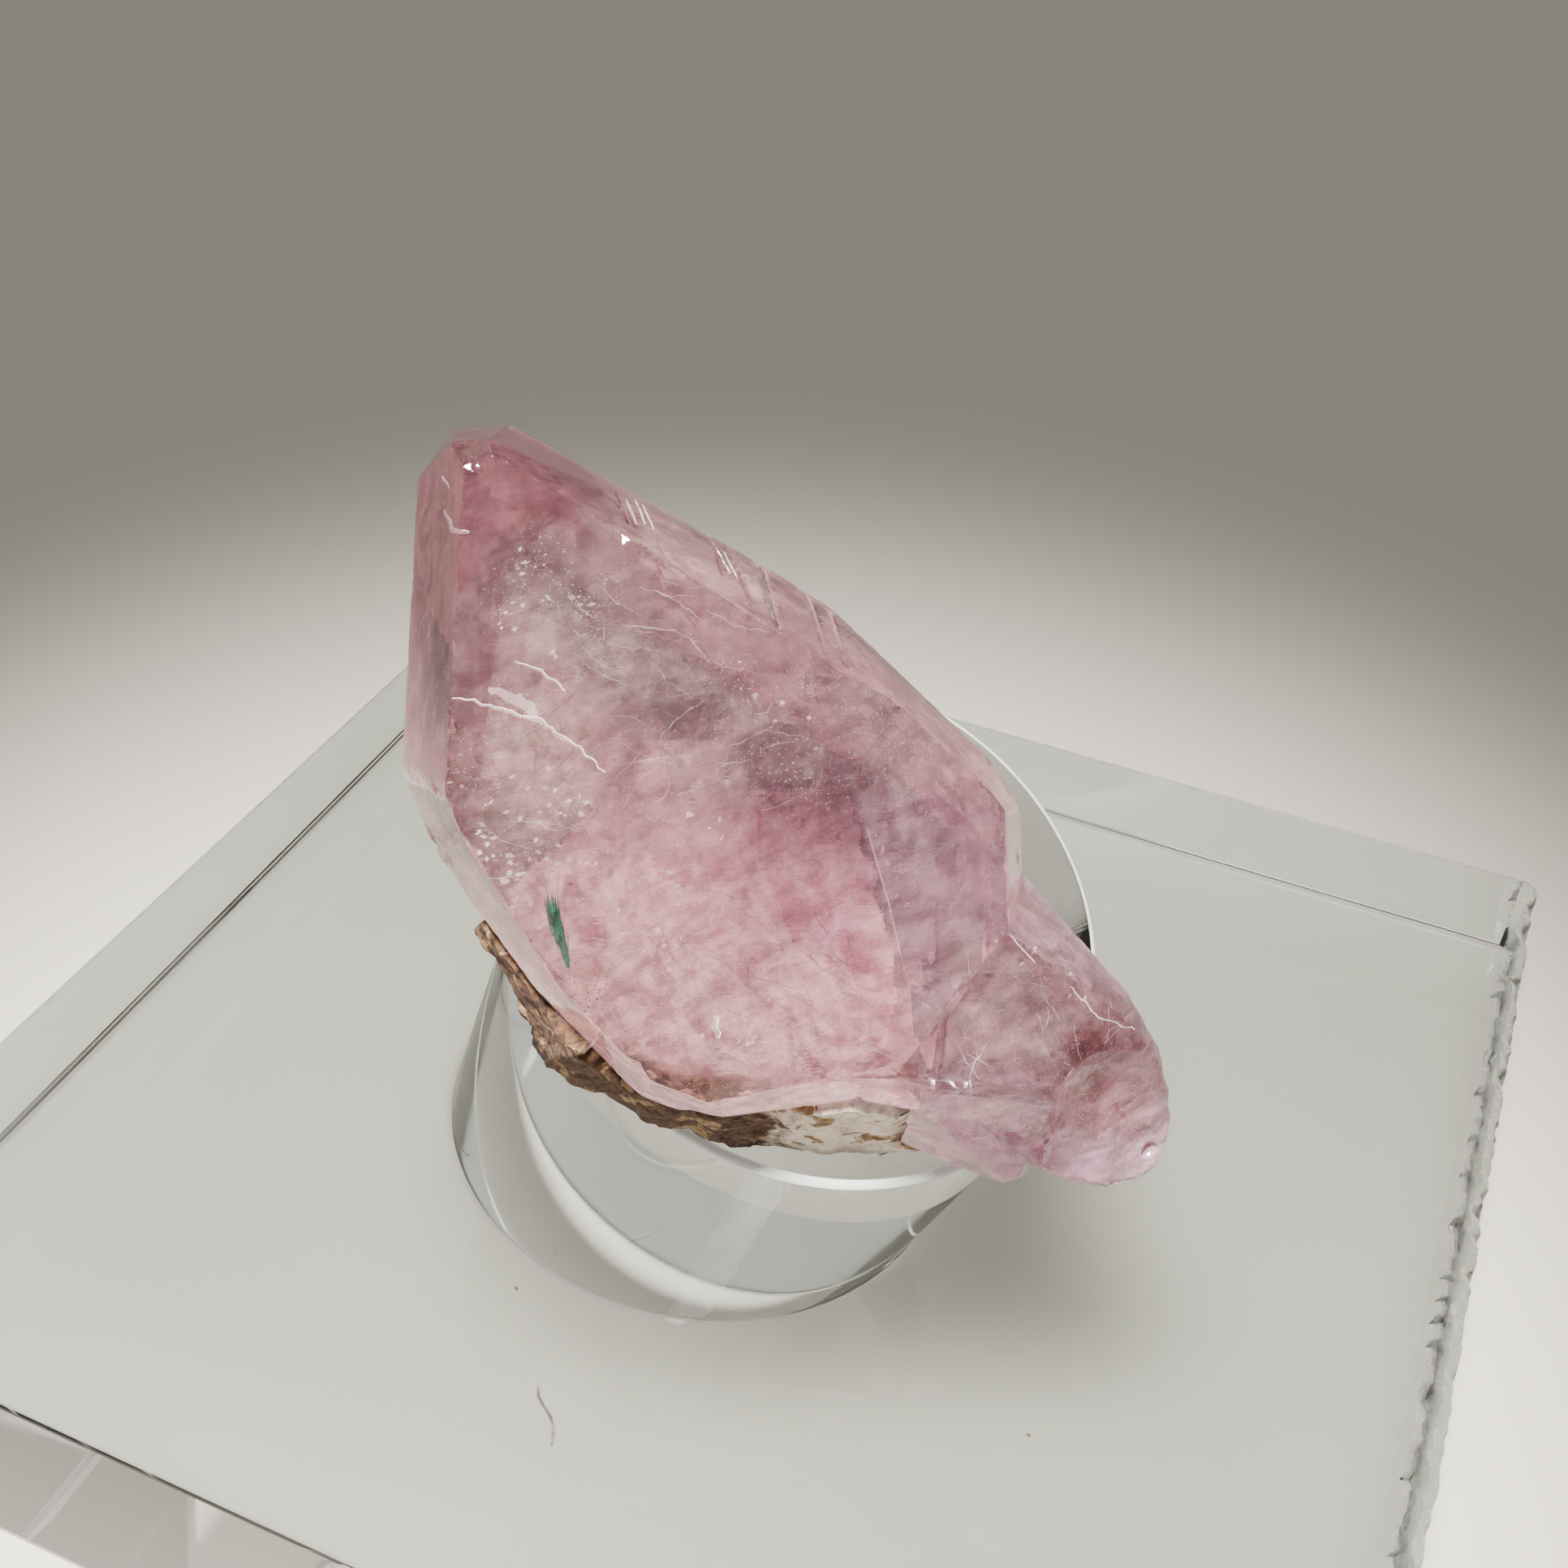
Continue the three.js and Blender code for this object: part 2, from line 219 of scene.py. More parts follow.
def saw_cut(bm):
    """Splits the plate's right side finely, scores it across and breaks chips off along both edges."""
    width, depth, height = PLATE
    side = [e for e in bm.edges if min(v.co.x for v in e.verts) > width / 2 - 0.3]
    along = [e for e in side if abs(e.verts[0].co.y - e.verts[1].co.y) > 10]
    bmesh.ops.subdivide_edges(bm, edges=along, cuts=170, use_grid_fill=True)
    tall = [e for e in bm.edges if min(v.co.x for v in e.verts) > width / 2 - 0.01
            and abs(e.verts[0].co.z - e.verts[1].co.z) > 3]
    bmesh.ops.subdivide_edges(bm, edges=tall, cuts=26, use_grid_fill=True)
    for v in bm.verts:
        if v.co.x < width / 2 - 0.3 or abs(v.co.y) > depth / 2 - PLATE_CORNER - 0.02:
            continue
        y, z = v.co.y, v.co.z
        rise = min(z, height - z)
        end = smoothstep(depth / 2 - PLATE_CORNER, depth / 2 - 3 * PLATE_CORNER, abs(y))
        score = 0.03 * noise.noise(Vector((y * 2.3 + z * 0.6, z * 0.25, 3.0)))
        pit = 0.05 * abs(noise.noise(Vector((y * 1.6, z * 1.6, 8.0))))
        flake = max(0.0, noise.noise(Vector((y * 0.9, z * 0.8, 5.0))) + 0.12)
        shard = max(0.0, noise.noise(Vector((y * 2.6, z * 1.9, 6.0))) + 0.1)
        chip = (0.2 * flake + 0.2 * shard) * smoothstep(1.2, 0.0, rise)
        v.co.x -= max(0.0, score + pit + chip) * end
        if rise > 0.01:
            v.co.z += (chip if z < height / 2 else -chip) * 0.35 * end * smoothstep(0.5, 0.0, rise)


def rod_block():
    """The leaning rod. It runs on into the plate and ends level there."""
    sunk = 5.0
    level_end = 5.0
    bm = bmesh.new()
    bmesh.ops.create_cone(bm, cap_ends=True, segments=144, radius1=ROD_RADIUS, radius2=ROD_RADIUS,
                          depth=ROD_LENGTH + sunk)
    bmesh.ops.translate(bm, verts=bm.verts, vec=(0, 0, (ROD_LENGTH - sunk) / 2))
    rim = [e for e in bm.edges if min(v.co.z for v in e.verts) > ROD_LENGTH - 0.01]
    bmesh.ops.bevel(bm, geom=rim, offset=ROD_EASING, segments=3, affect="EDGES", profile=0.5)
    lean = Vector((0, 0, 1)).rotation_difference(ROD_AXIS).to_matrix().to_4x4()
    bmesh.ops.transform(bm, matrix=Matrix.Translation(ROD_FOOT) @ lean, verts=bm.verts)
    bmesh.ops.bisect_plane(bm, geom=bm.verts[:] + bm.edges[:] + bm.faces[:], plane_co=(0, 0, level_end),
                           plane_no=(0, 0, -1), clear_outer=True)
    bmesh.ops.holes_fill(bm, edges=[e for e in bm.edges if e.is_boundary])
    bmesh.ops.recalc_face_normals(bm, faces=bm.faces)
    return object_from(bm, "rod_block", acrylic)


def off_rod_axis(point):
    """The distance of a point in millimetres from the rod's axis."""
    return (point - ROD_FOOT).cross(ROD_AXIS).length


CLEAR_TINT = (0.950, 0.985, 0.958)
SAWN_TINT = (0.93, 0.95, 0.93)
acrylic, nodes, links, surface = material_named(
    "cast_acrylic", Base_Color=(*CLEAR_TINT, 1), IOR=1.49, Transmission_Weight=1.0)
where = coordinates(nodes, links)
split = nodes.new("ShaderNodeSeparateXYZ")
links.new(where, split.inputs["Vector"])
side = PLATE.x / 2
sawn = between(nodes, links, split.outputs["X"], side - 0.45, side - 0.25)
grit = noise_at(nodes, links, where, 5.0, 3.0)
frost = figured(nodes, links, "MULTIPLY", sawn, between(nodes, links, grit, 0.3, 0.7, 0.2, 0.42))
smear = between(nodes, links, noise_at(nodes, links, where, 0.35, 3.0), 0.45, 0.75, 0.0, 0.05)
polish = figured(nodes, links, "ADD", smear, 0.012)
links.new(figured(nodes, links, "ADD", frost, polish), surface.inputs["Roughness"])
cast = mixed(nodes, links, sawn, CLEAR_TINT, SAWN_TINT)
links.new(cast, surface.inputs["Base Color"])

# The rod's top edge is eased round, and a band along it is made partly diffuse white, most towards the
# front: a painted highlight along the rim.
up_rod = vector_figured(nodes, links, "DOT_PRODUCT", where, ROD_AXIS)
top = ROD_TOP.dot(ROD_AXIS)
top_edge = between(nodes, links, up_rod, top - 0.17, top - 0.14)
from_foot = vector_figured(nodes, links, "SUBTRACT", where, ROD_FOOT)
aside = vector_figured(nodes, links, "CROSS_PRODUCT", from_foot, ROD_AXIS)
off_axis = vector_figured(nodes, links, "LENGTH", aside)
outer_edge = between(nodes, links, off_axis, ROD_RADIUS - 0.19, ROD_RADIUS - 0.16)
rim_highlight_front = between(nodes, links, split.outputs["Y"], -9.2, -7.6, 1.0, 0.45)
rim_highlight_mask = figured(nodes, links, "MULTIPLY", figured(nodes, links, "MULTIPLY", top_edge, rim_highlight_front),
                 outer_edge)
painted_rim_highlight = figured(nodes, links, "MULTIPLY", rim_highlight_mask, 0.85)
links.new(figured(nodes, links, "SUBTRACT", 1.0, painted_rim_highlight), surface.inputs["Transmission Weight"])
stand = plate_block()
rod = rod_block()
union = stand.modifiers.new("cement", "BOOLEAN")
union.operation = "UNION"
union.solver = "EXACT"
union.object = rod
made_plain(stand)
bpy.data.objects.remove(rod)
bm = bmesh.new()
bm.from_mesh(stand.data)
foot_ring = [e for e in bm.edges
             if all(abs(v.co.z / MM - PLATE.z) < 0.02 and abs(off_rod_axis(v.co / MM) - ROD_RADIUS) < 0.03
                    for v in e.verts)]
bmesh.ops.bevel(bm, geom=foot_ring, offset=FOOT_FILLET * MM, segments=2, affect="EDGES", profile=0.5)
bm.to_mesh(stand.data)
bm.free()
stand.name = "acrylic_stand"
stand.data.materials.clear()
stand.data.materials.append(acrylic)
shade(stand, 32, (Vector((1, 0, 0)), Vector((0, 1, 0)), Vector((0, 0, 1)), ROD_AXIS))
belongs(stand, "clear_acrylic", "acrylic_plate", "acrylic_post")

# Dust that settled on the plate: short dark fibres, two finer threads and a few specks. They lie loose
# on the plastic.


def mottled(name, space, darker, paler, scale, detail, crisp=True, stretch=None, **inputs):
    """A material whose tone wanders between two colours, crisply or softly."""
    material, nodes, links, surface = material_named(name, **inputs)
    tone = noise_at(nodes, links, coordinates(nodes, links, space), scale, detail, stretch=stretch)
    if crisp:
        tone = between(nodes, links, tone, 0.35, 0.65)
    links.new(mixed(nodes, links, tone, darker, paler), surface.inputs["Base Color"])
    return material


lint = mottled("lint", None, (0.035, 0.03, 0.025), (0.16, 0.14, 0.12), 2.0, 2.0, Roughness=0.9)


def fibre(bm, points, thick):
    """A fine thread that lies on the plate along points given in millimetres from above."""
    rings = []
    for k, (x, y) in enumerate(points):
        before, after = points[max(k - 1, 0)], points[min(k + 1, len(points) - 1)]
        across = Vector((before[1] - after[1], after[0] - before[0], 0)).normalized() * thick / 2
        middle = Vector((x, y, PLATE.z + thick / 2))
        lift = Vector((0, 0, thick / 2))
        rings.append([bm.verts.new(middle + part) for part in (across, lift, -across, -lift)])
    for ring, onward in zip(rings, rings[1:]):
        for k in range(4):
            bm.faces.new((ring[k], ring[(k + 1) % 4], onward[(k + 1) % 4], onward[k]))
    bm.faces.new(rings[0][::-1])
    bm.faces.new(rings[-1])


FIBRE = 0.07
THREAD = 0.045
SPECK = 0.08
bm = bmesh.new()
fibre(bm, ((-5.46, -6.59), (-5.2, -6.62), (-5.08, -6.58), (-4.91, -6.38)), FIBRE)
fibre(bm, ((-0.65, -12.2), (-0.5, -12.45), (-0.28, -12.62), (0.0, -12.8), (0.22, -13.05), (0.38, -13.44)),
      FIBRE)
fibre(bm, ((3.15, -6.17), (3.3, -5.85), (3.6, -5.6), (4.17, -5.3), (4.7, -5.15), (5.02, -5.14)), THREAD)
fibre(bm, ((4.3, -6.85), (4.4, -6.3), (4.65, -5.87), (5.0, -5.6), (5.31, -5.45)), THREAD)
fibre(bm, ((-2.47, -10.0), (-2.4, -10.05)), FIBRE)
fibre(bm, ((10.01, -8.6), (10.1, -8.62)), SPECK)
fibre(bm, ((-12.2, 3.1), (-12.1, 3.05)), SPECK)
bmesh.ops.recalc_face_normals(bm, faces=bm.faces)
belongs(object_from(bm, "plate_dust", lint), "clear_acrylic")

# The calcite: one pale pink crystal with glossy flat faces, cloudy inside, grown together with a
# smaller one on its lower right that is broken at the end. Its millimetres are counted from its
# middle here, with +Z out of its front face, +X to the right and +Y up along it.
MIDDLE = Vector((2.3, -8.3, 21.3))
FACING = math.radians(-68.6)
TILTED_UP = math.radians(34.0)
ROLLED = math.radians(3.3)


def crystal_space():
    outward = Vector((math.cos(TILTED_UP) * math.cos(FACING), math.cos(TILTED_UP) * math.sin(FACING),
                      math.sin(TILTED_UP)))
    right = Vector((-math.sin(FACING), math.cos(FACING), 0))
    upward = outward.cross(right)
    roll = Matrix.Rotation(ROLLED, 3, outward)
    axes = Matrix((roll @ right, roll @ upward, outward)).transposed()
    return Matrix.Translation(MIDDLE) @ axes.to_4x4()


CRYSTAL = crystal_space()
FROM_FRAME = CRYSTAL.inverted() @ Matrix.Scale(1 / MM, 4)


def diced(node, longest):
    """A solid's surface in the crystal's millimetres, split until no edge is longer than given."""
    bm = bmesh.new()
    bm.from_mesh(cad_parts[node].data)
    bmesh.ops.transform(bm, matrix=FROM_FRAME, verts=bm.verts)
    bmesh.ops.remove_doubles(bm, verts=bm.verts, dist=0.0005)
    waiting = [(-e.calc_length(), e.index, e) for e in bm.edges]
    heapq.heapify(waiting)
    count = len(waiting)
    while waiting:
        edge = heapq.heappop(waiting)[2]
        if edge.calc_length() <= longest:
            continue
        halves = [(f, next(v for v in f.verts if v not in edge.verts)) for f in edge.link_faces]
        middle = bmesh.utils.edge_split(edge, edge.verts[0], 0.5)[1]
        for face, opposite in halves:
            bmesh.utils.face_split(face, middle, opposite)
        for near in middle.link_edges:
            count += 1
            heapq.heappush(waiting, (-near.calc_length(), count, near))
    bm.normal_update()
    return bm


def worn_crystal():
    """The crystal with faint waves on its faces, nicked edges, and rough breaks and underside."""
    bm = diced("calcite_crystal", 0.2)
    moves = {}
    for v in bm.verts:
        p = v.co
        sharp = max((e.calc_face_angle(0.0) for e in v.link_edges), default=0.0) > 0.16
        wave = 0.006 * noise.noise(p * 0.8) + 0.002 * noise.noise(p * 3.0)
        broken = smoothstep(4.7, 5.6, p.x) * smoothstep(-4.2, -5.0, p.y)
        under = smoothstep(-4.6, -5.2, p.y) * smoothstep(2.6, 1.4, p.z)
        behind = smoothstep(-0.5, -2.0, p.z)
        ripple = noise.noise(Vector((p.x * 0.9, p.y * 2.6, p.z * 2.6)))
        shell = abs(noise.noise(p * 1.3 + Vector((4, 1, 7))))
        grit = noise.noise(p * 4.5)
        move = wave + broken * (0.05 * shell + 0.02 * grit) + under * (0.05 * ripple + 0.02 * grit)
        move += behind * (0.04 * ripple + 0.05 * shell + 0.012 * grit)
        if sharp:
            nick = max(0.0, noise.noise(p * 2.2 + Vector((9, 3, 1))) - 0.05)
            lower_left = smoothstep(-3.5, -5.0, p.x) * smoothstep(2.0, 0.0, p.y)
            move -= 0.012 + nick * (0.07 + 0.12 * lower_left + 0.08 * broken)
        moves[v] = v.normal * move
    for v, move in moves.items():
        v.co += move
    return bm


calcite, nodes, links, surface = material_named("pink_calcite", IOR=1.58)
where = coordinates(nodes, links, CRYSTAL)
split = nodes.new("ShaderNodeSeparateXYZ")
links.new(where, split.inputs["Vector"])


def spot(colour, x, y, width, height, turn, tone, strength):
    """Lays a soft, ragged oval zone of a tone over a colour, as seen from the front."""
    raggedness = 1.4
    mapping = nodes.new("ShaderNodeMapping")
    mapping.vector_type = "TEXTURE"
    mapping.inputs["Location"].default_value = (x, y, 0)
    mapping.inputs["Rotation"].default_value = (0, 0, math.radians(turn))
    mapping.inputs["Scale"].default_value = (width, height, 400)
    links.new(where, mapping.inputs["Vector"])
    far = vector_figured(nodes, links, "LENGTH", mapping.outputs["Vector"])
    wobble = figured(nodes, links, "MULTIPLY", figured(nodes, links, "SUBTRACT", cloud, 0.5), raggedness)
    reach = figured(nodes, links, "ADD", far, wobble)
    return mixed(nodes, links, between(nodes, links, reach, 0.35, 1.0, strength, 0.0), colour, tone)


cloud = noise_at(nodes, links, where, 0.9, 3.0, 0.4)
fine_cloud = noise_at(nodes, links, where, 2.6, 4.0, 0.8, roughness=0.68)
cloudiness = between(nodes, links, cloud, 0.35, 0.65)
colour = mixed(nodes, links, cloudiness, (0.53, 0.345, 0.385), (0.74, 0.55, 0.545))


def side_of(x, y, heading, soft):
    """A mask that is 1 to the left of a line through a point, as seen from the front."""
    leftward = Vector((-math.sin(math.radians(heading)), math.cos(math.radians(heading)), 0))
    reach = vector_figured(nodes, links, "DOT_PRODUCT", where, leftward)
    ragged = figured(nodes, links, "MULTIPLY", figured(nodes, links, "SUBTRACT", fine_cloud, 0.5), soft * 3)
    value = figured(nodes, links, "ADD", reach, ragged)
    middle = leftward.dot(Vector((x, y, 0)))
    return between(nodes, links, value, middle - soft, middle + soft)


def facet(colour, corners, tone, strength):
    """Lays a crisp-edged flat facet of a tone over a colour. Its corners run anticlockwise."""
    inside = strength
    for (x, y), (next_x, next_y) in zip(corners, corners[1:] + corners[:1]):
        edge = side_of(x, y, math.degrees(math.atan2(next_y - y, next_x - x)), 0.03)
        inside = figured(nodes, links, "MULTIPLY", edge, inside)
    return mixed(nodes, links, inside, colour, tone)


# The deeper rose of the tip, then the soft zones of the left half and the middle.
tip = figured(nodes, links, "MULTIPLY", side_of(-4.15, 4.75, 36, 0.12), 0.85)
colour = mixed(nodes, links, tip, colour, (0.42, 0.19, 0.24))
MAUVE_HEART = (1.0, -0.9, 2.2, 3.2, 12, (0.27, 0.15, 0.21), 0.95)
for zone in ((-5.75, 2.2, 0.85, 5.5, 0, (0.30, 0.17, 0.19), 0.85),
             (-2.9, 3.6, 2.6, 1.4, -35, (0.70, 0.62, 0.60), 0.8),
             (-2.0, 2.9, 3.0, 1.1, -35, (0.42, 0.32, 0.32), 0.8),
             (-4.0, 0.6, 1.5, 1.9, 0, (0.80, 0.68, 0.62), 0.75),
             MAUVE_HEART):
    colour = spot(colour, *zone)

# Lavender to the right of the inner facet's line, then the zones of the right side, the foot, the
# smaller crystal and the pale lip.
lavender = figured(nodes, links, "MULTIPLY", side_of(2.34, -1.3, -74.7, 0.03), side_of(2.0, 0.5, 195, 0.35))
colour = mixed(nodes, links, figured(nodes, links, "MULTIPLY", lavender, 0.8), colour, (0.60, 0.40, 0.50))
PALE_LIP = (1.4, -4.9, 3.6, 0.45, -8, (1.0, 0.92, 0.92), 0.9)
for zone in ((2.6, 2.1, 2.2, 1.2, -38, (0.72, 0.64, 0.59), 0.85),
             (-0.3, -3.3, 3.6, 1.5, -8, (0.84, 0.66, 0.63), 0.75),
             (4.9, -3.7, 2.8, 1.7, -35, (0.82, 0.66, 0.62), 0.6),
             (6.8, -5.3, 1.9, 1.5, -30, (0.46, 0.26, 0.26), 0.85),
             PALE_LIP):
    colour = spot(colour, *zone)

# Facets that show crisply: two bright ones along the upper right edge, a small one below the tip, one
# at the right, and a dark and a pale one on the smaller crystal.
for corners, tone, strength in (
        ([(-0.43, 4.92), (-0.03, 3.91), (0.39, 3.61), (0.32, 4.48)], (0.96, 0.88, 0.82), 1.0),
        ([(0.69, 4.3), (1.80, 2.91), (2.25, 3.02), (1.54, 3.66)], (0.96, 0.88, 0.82), 1.0),
        ([(-3.0, 3.4), (-2.75, 2.62), (-2.45, 2.65), (-2.72, 3.42)], (0.84, 0.74, 0.68), 0.7),
        ([(3.55, 1.5), (3.7, -1.1), (4.7, 0.2), (4.3, 1.4)], (0.72, 0.54, 0.60), 0.6),
        ([(5.6, -3.9), (6.6, -5.6), (7.2, -4.9), (6.4, -4.0)], (0.34, 0.16, 0.19), 0.7),
        ([(3.0, -3.2), (4.4, -5.0), (5.3, -4.7), (3.9, -2.9)], (0.78, 0.58, 0.58), 0.6)):
    colour = facet(colour, corners, tone, strength)

# Streaks and wisps mottle all of it, and the worn back is split into stepped cells painted lighter and
# darker: painted light and shade of faces turned to and from the light.
wisps = noise_at(nodes, links, where, 1.3, 5.0, 1.6, roughness=0.66)
streaks = noise_at(nodes, links, where, 2.4, 5.0, 0.5, roughness=0.76, stretch=(0.4, 1.5, 1.0), turn=27)
mottle = figured(nodes, links, "ADD", between(nodes, links, streaks, 0.38, 0.62, 0.0, 0.55),
                 between(nodes, links, wisps, 0.40, 0.60, 0.0, 0.45))
shaded = mixed(nodes, links, mottle, (0.42, 0.37, 0.39), (1.26, 1.30, 1.28))
colour = mixed(nodes, links, 1.0, colour, shaded, "MULTIPLY")
at_back = between(nodes, links, split.outputs["Z"], -1.2, 0.8, 1.0, 0.0)
leaning = nodes.new("ShaderNodeMapping")
leaning.inputs["Rotation"].default_value = (0.3, 0.2, math.radians(-38))
leaning.inputs["Scale"].default_value = (0.5, 0.95, 0.6)
links.new(where, leaning.inputs["Vector"])
steps = nodes.new("ShaderNodeTexVoronoi")
steps.inputs["Scale"].default_value = 0.8
links.new(leaning.outputs["Vector"], steps.inputs["Vector"])
step_shade_cells = nodes.new("ShaderNodeSeparateColor")
links.new(steps.outputs["Color"], step_shade_cells.inputs["Color"])
# Painted light and shade of the back's stepped faces.
painted_step_light_shade = mixed(nodes, links, step_shade_cells.outputs[0], (0.66, 0.60, 0.62), (1.16, 1.16, 1.14))
back_with_painted_step_shade = mixed(nodes, links, 1.0, colour, painted_step_light_shade, "MULTIPLY")
colour = mixed(nodes, links, at_back, colour, back_with_painted_step_shade)
links.new(colour, surface.inputs["Base Color"])

# The front is polished and clear, and the back etched and cloudy.
patchy = between(nodes, links, noise_at(nodes, links, where, 1.3, 4.0), 0.35, 0.7)
front_polish = between(nodes, links, fine_cloud, 0.35, 0.75, 0.01, 0.07)
back_etch = between(nodes, links, patchy, 0.0, 1.0, 0.10, 0.30)
etched = figured(nodes, links, "MULTIPLY", at_back, back_etch)
links.new(figured(nodes, links, "ADD", front_polish, etched), surface.inputs["Roughness"])
clouded = figured(nodes, links, "MULTIPLY", at_back, between(nodes, links, wisps, 0.35, 0.65, 0.6, 0.2))
links.new(figured(nodes, links, "SUBTRACT", 0.985, clouded), surface.inputs["Transmission Weight"])
growth = noise_at(nodes, links, where, 2.0, 3.0, 0.3, stretch=(0.5, 4.0, 1.0))
pitting = noise_at(nodes, links, where, 9.0, 1.0)
relief = figured(nodes, links, "ADD", growth, figured(nodes, links, "MULTIPLY", pitting, 0.25))
bumped(nodes, links, surface, relief, 0.005)
absorbed = nodes.new("ShaderNodeVolumeAbsorption")
absorbed.inputs["Color"].default_value = (0.94, 0.62, 0.72, 1)
absorbed.inputs["Density"].default_value = 40.0
links.new(absorbed.outputs["Volume"], nodes["Material Output"].inputs["Volume"])
crystal = object_from(worn_crystal(), "calcite", calcite, CRYSTAL)
shade(crystal, 9)
belongs(crystal, "calcite", "calcite_crystal")

# What is inside the calcite: healed cracks that show as veils of tiny flakes, air-filled ones whose glint
# is painted white, fine bright and dark cracks, and rusty films near the matrix. They formed in the crystal
# as it grew and was strained.
CALCITE_SURFACE = BVHTree.FromPolygons(
    [FROM_FRAME @ v.co for v in crystal.data.vertices], [p.vertices[:] for p in crystal.data.polygons])


def under_front(x, y, depth):
    """The point at a depth under the front surface, or nothing where the crystal is too thin."""
    front = CALCITE_SURFACE.ray_cast(Vector((x, y, 12)), Vector((0, 0, -1)))[0]
    back = CALCITE_SURFACE.ray_cast(Vector((x, y, -12)), Vector((0, 0, 1)))[0]
    if front is None or back is None or front.z - depth < back.z + 0.15:
        return None
    return Vector((x, y, front.z - depth))


def films(*rows):
    """Films as one mesh. A row gives x, y, width, height, turn, depth, and perhaps lean and bow."""
    bm = bmesh.new()
    for row in rows:
        film(bm, *row)
    return bm


def film(bm, x, y, width, height, turn, depth, lean=0.0, bow=0.0):
    """A slightly wavy film inside the crystal. It lies under the front face and may lean away."""
    cells = 14
    across = Vector((math.cos(math.radians(turn)), math.sin(math.radians(turn))))
    along = Vector((-across.y, across.x))
    rows = []
    for j in range(cells + 1):
        row = []
        for i in range(cells + 1):
            u = (i / cells - 0.5) * width
            v = (j / cells - 0.5) * height
            place = Vector((x, y)) + across * u + along * v
            wave = 0.12 * noise.noise(Vector((place.x * 0.9, place.y * 0.9, depth * 3)))
            sag = bow * ((2 * u / width) ** 2 + (2 * v / height) ** 2)
            point = under_front(place.x, place.y, max(0.03, depth - lean * v / height + wave + sag))
            row.append(bm.verts.new(point) if point else None)
        rows.append(row)
    for j in range(cells):
        for i in range(cells):
            corners = (rows[j][i], rows[j][i + 1], rows[j + 1][i + 1], rows[j + 1][i])
            if all(corners):
                bm.faces.new(corners)


def seams(*rows):
    """Seams as one mesh. A row gives a seam's points, depth, width and perhaps its jag."""
    bm = bmesh.new()
    for row in rows:
        seam(bm, *row)
    return bm


def seam(bm, points, depth, width, jag=0.04):
    """A jagged crack seen edge on, as a ribbon that widens and narrows along its way."""
    path = []
    for start, end in zip(points, points[1:]):
        start, end = Vector(start), Vector(end)
        steps = max(2, int((end - start).length / 0.07))
        path += [start.lerp(end, k / steps) for k in range(steps)]
    path.append(Vector(points[-1]))
    last = None
    for k, place in enumerate(path):
        ahead = (path[min(k + 1, len(path) - 1)] - path[max(k - 1, 0)]).normalized()
        side = Vector((-ahead.y, ahead.x))
        seed = Vector((place.x * 3.1, place.y * 3.1, depth))
        place = place + side * jag * noise.noise(seed * 2.0)
        taper = math.sin(math.pi * (k + 0.5) / len(path)) ** 0.5
        half = 0.5 * width * taper * (0.55 + 0.9 * abs(noise.noise(seed)))
        left = under_front(*(place + side * half), depth)
        right = under_front(*(place - side * half), depth + half * 1.2)
        pair = (bm.verts.new(left), bm.verts.new(right)) if left and right else None
        if pair and last:
            bm.faces.new((last[0], last[1], pair[1], pair[0]))
        last = pair


def tree_of(name, makes, *sockets):
    """An empty Geometry Nodes tree with its named inputs, and its nodes, links, inputs and output."""
    tree = bpy.data.node_groups.new(name, "GeometryNodeTree")
    for socket_name, kind in sockets:
        tree.interface.new_socket(socket_name, in_out="INPUT", socket_type=kind)
    tree.interface.new_socket(makes, in_out="OUTPUT", socket_type="NodeSocketGeometry")
    given = tree.nodes.new("NodeGroupInput").outputs
    return tree, tree.nodes, tree.links, given, tree.nodes.new("NodeGroupOutput").inputs[0]


def tilted(nodes, links, rotation, amount, seed=None):
    """A rotation with a random tilt of up to an amount either way."""
    tilt = nodes.new("FunctionNodeRandomValue")
    tilt.data_type = "FLOAT_VECTOR"
    links.new(figured(nodes, links, "MULTIPLY", amount, -1.0), tilt.inputs[0])
    links.new(amount, tilt.inputs[1])
    if seed is not None:
        links.new(seed, tilt.inputs["Seed"])
    turned = nodes.new("FunctionNodeRotateRotation")
    links.new(rotation, turned.inputs[0])
    links.new(tilt.outputs[0], turned.inputs[1])
    return turned.outputs[0]


def stand_on_points(nodes, links, points, instance, rotation, scale, finish, result):
    """Ends a tree: a turned and scaled shape on every point, made real, with its finish."""
    placed = nodes.new("GeometryNodeInstanceOnPoints")
    for name, source in (("Points", points), ("Instance", instance), ("Rotation", rotation),
                         ("Scale", scale)):
        links.new(source, placed.inputs[name])
    made_real = nodes.new("GeometryNodeRealizeInstances")
    links.new(placed.outputs["Instances"], made_real.inputs[0])
    finished = nodes.new("GeometryNodeSetMaterial")
    links.new(made_real.outputs[0], finished.inputs["Geometry"])
    links.new(finish, finished.inputs["Material"])
    links.new(finished.outputs[0], result)


